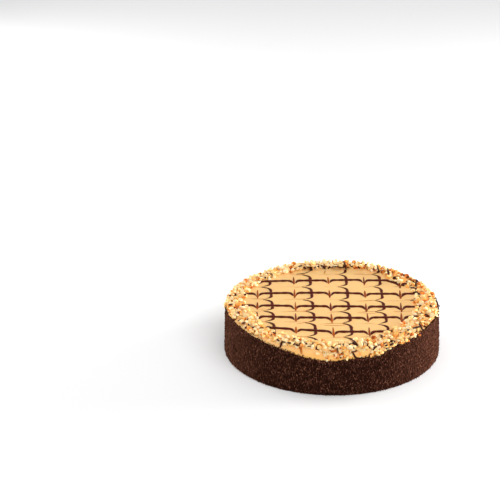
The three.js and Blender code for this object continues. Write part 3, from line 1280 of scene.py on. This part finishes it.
    def _trails(self) -> List[Stroke]:
        """Faint trails that the drags of a column drew out of its tails, and a few long ones beyond them.

        Returns:
            The strokes on open icing.
        """
        draw = np.random.default_rng(21)
        trails = []
        share = np.linspace(0.0, 1.0, 11)
        for column in self.columns[1:]:
            points = np.array(column)[:, ::-1]
            for drag in self.column_drags[1:-1]:
                y = self._stop(points, drag)
                x = np.interp(y, points[:, 0], points[:, 1])
                for tail, side, reach in ((self.front_tail, 1.0, 9.0), (self.back_tail, -1.0, 15.0)):
                    xs = x - 0.85 * tail.pull - share * draw.uniform(0.35, 1.0) * reach
                    ys = y + side * tail.gap * (1.0 - share) + share * draw.normal(0.0, 0.3)
                    trails.append(self._stroke(xs, ys, draw.uniform(0.45, 0.7) * (1.0 - share) ** 0.6))
                for _ in range(2):
                    start = x - self.back_tail.pull - draw.uniform(-2.0, 8.0)
                    xs = start - share * draw.uniform(8.0, 22.0)
                    ys = y + draw.uniform(-2.4, 2.4) + share * draw.normal(-0.2, 0.6)
                    fullness = np.sin(math.pi * (0.08 + 0.84 * share)) ** 0.6
                    trails.append(self._stroke(xs, ys, draw.uniform(0.22, 0.42) * fullness))
        return self._on_open_icing(trails) + self._drawn(self.long_trails)

    def _on_open_icing(self, marks: Sequence[Stroke]) -> List[Stroke]:
        """Picks the marks that lie inside the ring of nuts or on the bare shoulder.

        Args:
            marks: All the marks.

        Returns:
            Those that show.
        """
        open_marks = []
        for mark in marks:
            x, y = mark.places.mean(axis=0)
            radius, bare = math.hypot(x, y), self.form.bare(np.arctan2(y, x))
            farthest = np.hypot(mark.places[:, 0], mark.places[:, 1]).max()
            if radius < self.form.ring_radius or (bare > 0.4 and farthest < self.form.lip_radius):
                open_marks.append(mark)
        return open_marks

    @staticmethod
    def _stroke(
        xs: np.ndarray,
        ys: np.ndarray,
        half_widths: np.ndarray,
        levels: Optional[np.ndarray] = None,
    ) -> Stroke:
        """A stroke from places, half widths and heights in millimetres."""
        raised = None if levels is None else levels * MM
        return Stroke(np.stack([xs, ys], -1) * MM, half_widths * MM, raised)

    @staticmethod
    def _beads(name: str, strokes: Sequence[Stroke], lay: Lay) -> bpy.types.Object:
        """Draws strokes as round beads on a curve, presses them flat and lays them down.

        Args:
            name: The piece's name.
            strokes: What to draw.
            lay: Moves the flat drawing's places on to a surface.

        Returns:
            The piece.
        """
        begin()
        bpy.ops.curve.primitive_bezier_curve_add()
        piece = take_active(name)
        drawn = piece.data
        drawn.splines.clear()
        drawn.dimensions = "3D"
        drawn.bevel_depth = 1.0
        drawn.bevel_resolution = 2
        drawn.use_fill_caps = True
        for stroke in strokes:
            spline = drawn.splines.new("POLY")
            spline.points.add(len(stroke.places) - 1)
            for point, (x, y), width in zip(spline.points, stroke.places, stroke.widths):
                point.co = (x, y, 0.0, 1.0)
                point.radius = width
        bpy.ops.object.convert(target="MESH")
        piece = take_active(name)
        put_vertices(piece, lay(vertex_array(piece)))
        bpy.ops.object.shade_smooth()
        return piece


@dataclass
class NutRing:
    """Chopped nuts that have come to rest in a ring on the icing's edge, two deep."""

    form: Form
    strokes: Sequence[Stroke]
    finish: NutFinish = field(default_factory=NutFinish)
    count: int = 1850
    grading: Grading = Grading(middle=2.4, spread=0.26, least=1.2, most=3.5)
    rim_count: int = 1450
    rim_grading: Grading = Grading(middle=2.1, spread=0.26, least=1.1, most=3.1)
    kinds: int = 12
    cell: float = 0.5 * MM
    ceiling: float = 3.65 * MM
    tries: int = 6
    strays: float = 0.02
    kept_off_lines: float = 0.25
    near_black_share: float = 0.018
    seed: int = 77

    def build(self) -> None:
        """Builds the ring."""
        draw = np.random.default_rng(self.seed)
        kinds = [self._kind(index, draw) for index in range(self.kinds)]
        settled, settled_sizes = self._settled(draw)
        clinging, clinging_sizes = self._on_shoulder(draw)
        places = np.concatenate([settled, clinging])
        sizes = np.concatenate([settled_sizes, clinging_sizes])
        count = len(sizes)
        yaw = draw.uniform(-math.pi, math.pi, count)
        tilt, roll = draw.normal(0.0, 0.45, (2, count))
        pick = draw.uniform(0.0, 1.0, count)
        # The azimuth factor browns the nuts at the right back and pales them at the back, the latter as
        # painted light from behind.
        browned = (1.0 - pick) / self.form.roasted(azimuths(places))
        # A few nuts are near-black, smaller and sunk lower among the others.
        dark = browned <= self.near_black_share
        tones = np.select([dark, browned > 0.33, browned > 0.15], [0.95, 0.0, 0.2], 0.42)
        places[:, 2] -= np.where(dark, 0.3 * sizes, 0.0)
        sizes = np.where(dark, 0.75 * sizes, sizes)
        # Nuts that lie low on the icing, under the others, get a darker tone: painted shade.
        lying = places[:, 2] - self.form.surface(places[:, 0], places[:, 1])
        tones = tones + draw.uniform(-0.12, 0.1, count) + 0.08 * np.exp(-lying / (1.5 * MM))
        chosen = draw.integers(0, self.kinds, count)
        turns = spun_yaw_tilt(yaw, tilt, roll)
        ring = gathered("chopped_nuts", kinds, chosen, places, turns, sizes, tones)
        finish_piece(ring, self.finish.material(), Slot.NUTS)

    def _footprint(self, heights: np.ndarray, place: np.ndarray, size: float) -> Tuple[Window, np.ndarray]:
        """Finds the cells round a nut.

        Args:
            heights: The grid of heights.
            place: The nut's middle.
            size: Half the nut's length.

        Returns:
            The cells, and how far each lies from the middle as a share of the size.
        """
        middle = len(heights) // 2
        i, j = int(place[0] / self.cell) + middle, int(place[1] / self.cell) + middle
        span = int(size / self.cell) + 1
        window = (slice(i - span, i + span + 1), slice(j - span, j + span + 1))
        xs, ys = ((np.arange(s.start, s.stop) - middle) * self.cell for s in window)
        away = np.hypot(xs[:, None] - place[0], ys[None, :] - place[1]) / size
        return window, away

    def _kind(self, index: int, draw: np.random.Generator) -> Chunk:
        """One chopped nut: a rounded cheek cut by a few flat breaks.

        Args:
            index: The kind's number.
            draw: Where the breaks' places come from.

        Returns:
            The chunk, with its outside toned darker than its breaks.
        """
        begin()
        bpy.ops.mesh.primitive_ico_sphere_add(subdivisions=2, radius=1.0)
        nut = take_active(f"nut_{index}")
        bpy.ops.object.mode_set(mode="EDIT")
        for _ in range(int(draw.integers(4, 7))):
            normal = Vector(draw.normal(0.0, 1.0, 3)).normalized()
            bpy.ops.mesh.select_all(action="SELECT")
            bpy.ops.mesh.bisect(
                plane_co=normal * draw.uniform(0.3, 0.72),
                plane_no=normal,
                use_fill=True,
                clear_outer=True,
            )
        bpy.ops.mesh.select_all(action="SELECT")
        bpy.ops.mesh.dissolve_limited(angle_limit=math.radians(14))
        bpy.ops.mesh.select_all(action="SELECT")
        bpy.ops.mesh.quads_convert_to_tris()
        bpy.ops.object.mode_set(mode="OBJECT")

        def tone_of(middles: np.ndarray) -> np.ndarray:
            """Darker where a face's middle still lies near the round outside."""
            outside = np.linalg.norm(middles, axis=1) > 0.86
            return np.where(outside, 0.26, 0.08) + draw.normal(0.0, 0.05, len(middles))

        chunk = taken_chunk(nut, tone_of)
        squash = np.array([1.0, draw.uniform(0.78, 1.0), draw.uniform(0.65, 0.9)])
        corners = (chunk.corners - chunk.corners.mean(axis=0)) * squash
        corners /= np.abs(corners).max()
        return Chunk(corners, chunk.triangles, chunk.tones)

    def _on_shoulder(self, draw: np.random.Generator) -> Tuple[np.ndarray, np.ndarray]:
        """Presses nuts into the hanging shoulder, except where it is bare.

        Args:
            draw: Where their sizes and places come from.

        Returns:
            The middles and the half lengths of the nuts.
        """
        form = self.form
        angle = draw.uniform(-math.pi, math.pi, self.rim_count)
        share = draw.uniform(0.0, 1.0, self.rim_count)
        sizes = self.rim_grading.drawn(draw, self.rim_count)
        room = 0.3 + form.drop(angle) / (form.edge_drop + form.sags[0][2])
        room = room - 1.2 * form.bare(angle) - 1.3 * form.tidy(angle)
        kept = 1.3 * draw.uniform(0.0, 1.0, self.rim_count) < room
        bend = 0.5 * math.pi * (0.25 + 0.68 * share)
        run = form.lip_radius - form.shoulder_start
        radius = form.shoulder_start + run * np.sin(bend) + 0.42 * sizes * np.sin(bend)
        height = form.top - form.drop(angle) * (1.0 - np.cos(bend)) + 0.3 * sizes * np.cos(bend)
        places = round_about(radius, angle, height)
        return places[kept], sizes[kept]

    def _settled(self, draw: np.random.Generator) -> Tuple[np.ndarray, np.ndarray]:
        """Drops the nuts one by one, largest first, each on what lies under it.

        Args:
            draw: Where their sizes and places come from.

        Returns:
            The middles and the half lengths of the nuts that found room.
        """
        form = self.form
        reach = form.foot_radius + 4 * MM
        cells = int(2 * reach / self.cell) + 1
        axis = (np.arange(cells) - cells // 2) * self.cell
        grid_x, grid_y = np.meshgrid(axis, axis, indexing="ij")
        heights = form.surface(grid_x, grid_y)
        keep_clear = self._line_mask(cells)
        sizes = self.grading.drawn(draw, self.count)
        sizes[::-1].sort()
        places, kept = [], []
        for size in sizes:
            for _ in range(self.tries):
                angle = draw.uniform(-math.pi, math.pi)
                piled = float(form.piled(np.array(angle)))
                if draw.uniform(0.0, 1.35) > piled:
                    continue
                inner = float(form.ring_inside(np.array(angle))) + abs(draw.normal(0.0, 1.6)) * MM
                shy = form.bare(np.array(angle)) + 2.2 * form.tidy(np.array(angle))
                outer = form.lip_radius - 0.4 * size - float(shy) * MM
                if draw.uniform() < self.strays:
                    inner -= 3.0 * MM
                radius = math.sqrt(draw.uniform(inner**2, outer**2))
                x, y = radius * math.cos(angle), radius * math.sin(angle)
                i, j = int(x / self.cell) + cells // 2, int(y / self.cell) + cells // 2
                if draw.uniform() < self.kept_off_lines and keep_clear[i, j]:
                    continue
                window, away = self._footprint(heights, np.array([x, y]), size)
                dome = 0.66 * size * np.sqrt(np.clip(1.0 - away**2, 0.0, 1.0))
                under = away < 0.9
                rest = (heights[window] + dome)[under].max() - 0.3 * size
                if rest + 0.5 * size > form.top + self.ceiling * piled:
                    continue
                lifted = np.where(under, rest + 0.85 * dome, 0.0)
                heights[window] = np.maximum(heights[window], lifted)
                places.append((x, y, rest))
                kept.append(size)
                break
        log.info("%d of %d nuts found room", len(kept), self.count)
        return np.array(places), np.array(kept)

    def _line_mask(self, cells: int) -> np.ndarray:
        """Marks the cells that lie on a dark stroke, where fewer nuts stay.

        Args:
            cells: The grid's cells along each side.

        Returns:
            The marked grid.
        """
        mask = np.zeros((cells, cells), dtype=bool)
        places = np.concatenate([stroke.places for stroke in self.strokes])
        i, j = np.clip((places / self.cell).astype(int) + cells // 2, 2, cells - 3).T
        for down, across in np.ndindex(5, 5):
            mask[i + down - 2, j + across - 2] = True
        return mask


# Camera, floor and light


@dataclass(frozen=True)
class Viewpoint:
    """A camera that sees the base's centre at a pixel of a square image."""

    image: float = 500.0
    focal: float = 1500.0
    distance: float = 1572.3 * MM
    base_pixel: Place = (331.25, 345.55)
    pitch: float = 22.439
    roll: float = -0.671
    sensor: float = 36.0

    def build(self) -> None:
        """Makes the camera and gives it to the scene."""
        pitch, roll = math.radians(self.pitch), math.radians(self.roll)
        level, up = Vector((1, 0, 0)), Vector((0, math.sin(pitch), math.cos(pitch)))
        back = Vector((0, -math.cos(pitch), math.sin(pitch)))
        right = math.cos(roll) * level + math.sin(roll) * up
        above = math.cos(roll) * up - math.sin(roll) * level
        scale = self.distance / self.focal
        aside = (self.base_pixel[0] - self.image / 2) * scale
        below = (self.base_pixel[1] - self.image / 2) * scale
        place = back * self.distance - right * aside + above * below
        data = bpy.data.cameras.new("viewpoint")
        data.sensor_width = self.sensor
        data.lens = self.focal / self.image * self.sensor
        data.clip_start, data.clip_end = 0.05, 40.0
        camera = bpy.data.objects.new("viewpoint", data)
        turn = Matrix((right, above, back)).transposed().to_4x4()
        camera.matrix_world = Matrix.Translation(place) @ turn
        bpy.context.scene.collection.objects.link(camera)
        bpy.context.scene.camera = camera


@dataclass(frozen=True)
class SoftBox:
    """One soft studio light."""

    name: str
    place: Spot
    width: float
    height: float
    power: float

    def build(self) -> None:
        """Hangs the light and points it at the torte."""
        data = bpy.data.lights.new(self.name, "AREA")
        data.shape = "RECTANGLE"
        data.size, data.size_y = self.width, self.height
        data.energy = self.power
        light = bpy.data.objects.new(self.name, data)
        light.location = self.place
        aim = Vector((0, 0, 0.03)) - Vector(self.place)
        light.rotation_euler = aim.to_track_quat("-Z", "Y").to_euler()
        light.visible_camera = False
        bpy.context.scene.collection.objects.link(light)


@dataclass(frozen=True)
class Studio:
    """A plain pale floor in soft light."""

    floor_colour: Colour = (0.9, 0.9, 0.9)
    floor_size: float = 24.0
    sky: float = 0.42
    boxes: Tuple[SoftBox, ...] = (
        SoftBox("overhead", (-0.1, 0.6, 3.0), 6.0, 6.0, 52.0),
        SoftBox("left", (-1.2, 0.78, 0.16), 0.9, 0.28, 27.0),
        SoftBox("right", (1.3, 0.4, 0.16), 0.9, 0.28, 47.5),
        SoftBox("front", (0.9, -2.1, 1.5), 2.4, 1.6, 42.0),
    )

    def build(self) -> None:
        """Lays the floor, lights it and sets how light turns into colour."""
        begin()
        bpy.ops.mesh.primitive_plane_add(size=self.floor_size)
        floor = take_active("floor")
        graph = Graph("pale_floor")
        inputs = {"Base Color": (*self.floor_colour, 1.0), "Roughness": 0.9, "Specular IOR Level": 0.1}
        floor.data.materials.append(graph.surface(inputs))
        for box in self.boxes:
            box.build()
        world = bpy.data.worlds.new("soft_sky")
        world.use_nodes = True
        world.node_tree.nodes["Background"].inputs["Color"].default_value = (1.0, 1.0, 1.0, 1.0)
        world.node_tree.nodes["Background"].inputs["Strength"].default_value = self.sky
        bpy.context.scene.world = world
        bpy.context.scene.view_settings.view_transform = "Standard"


def main() -> None:
    """Builds the whole scene."""
    logging.basicConfig(level=logging.INFO, format="%(name)s: %(message)s")
    form = Form()
    Viewpoint().build()
    Studio().build()
    CrumbCoat(form).build()
    IcingCap(form).build()
    NutRing(form, FeatheredLines(form).build()).build()


if __name__ == "__main__":
    main()
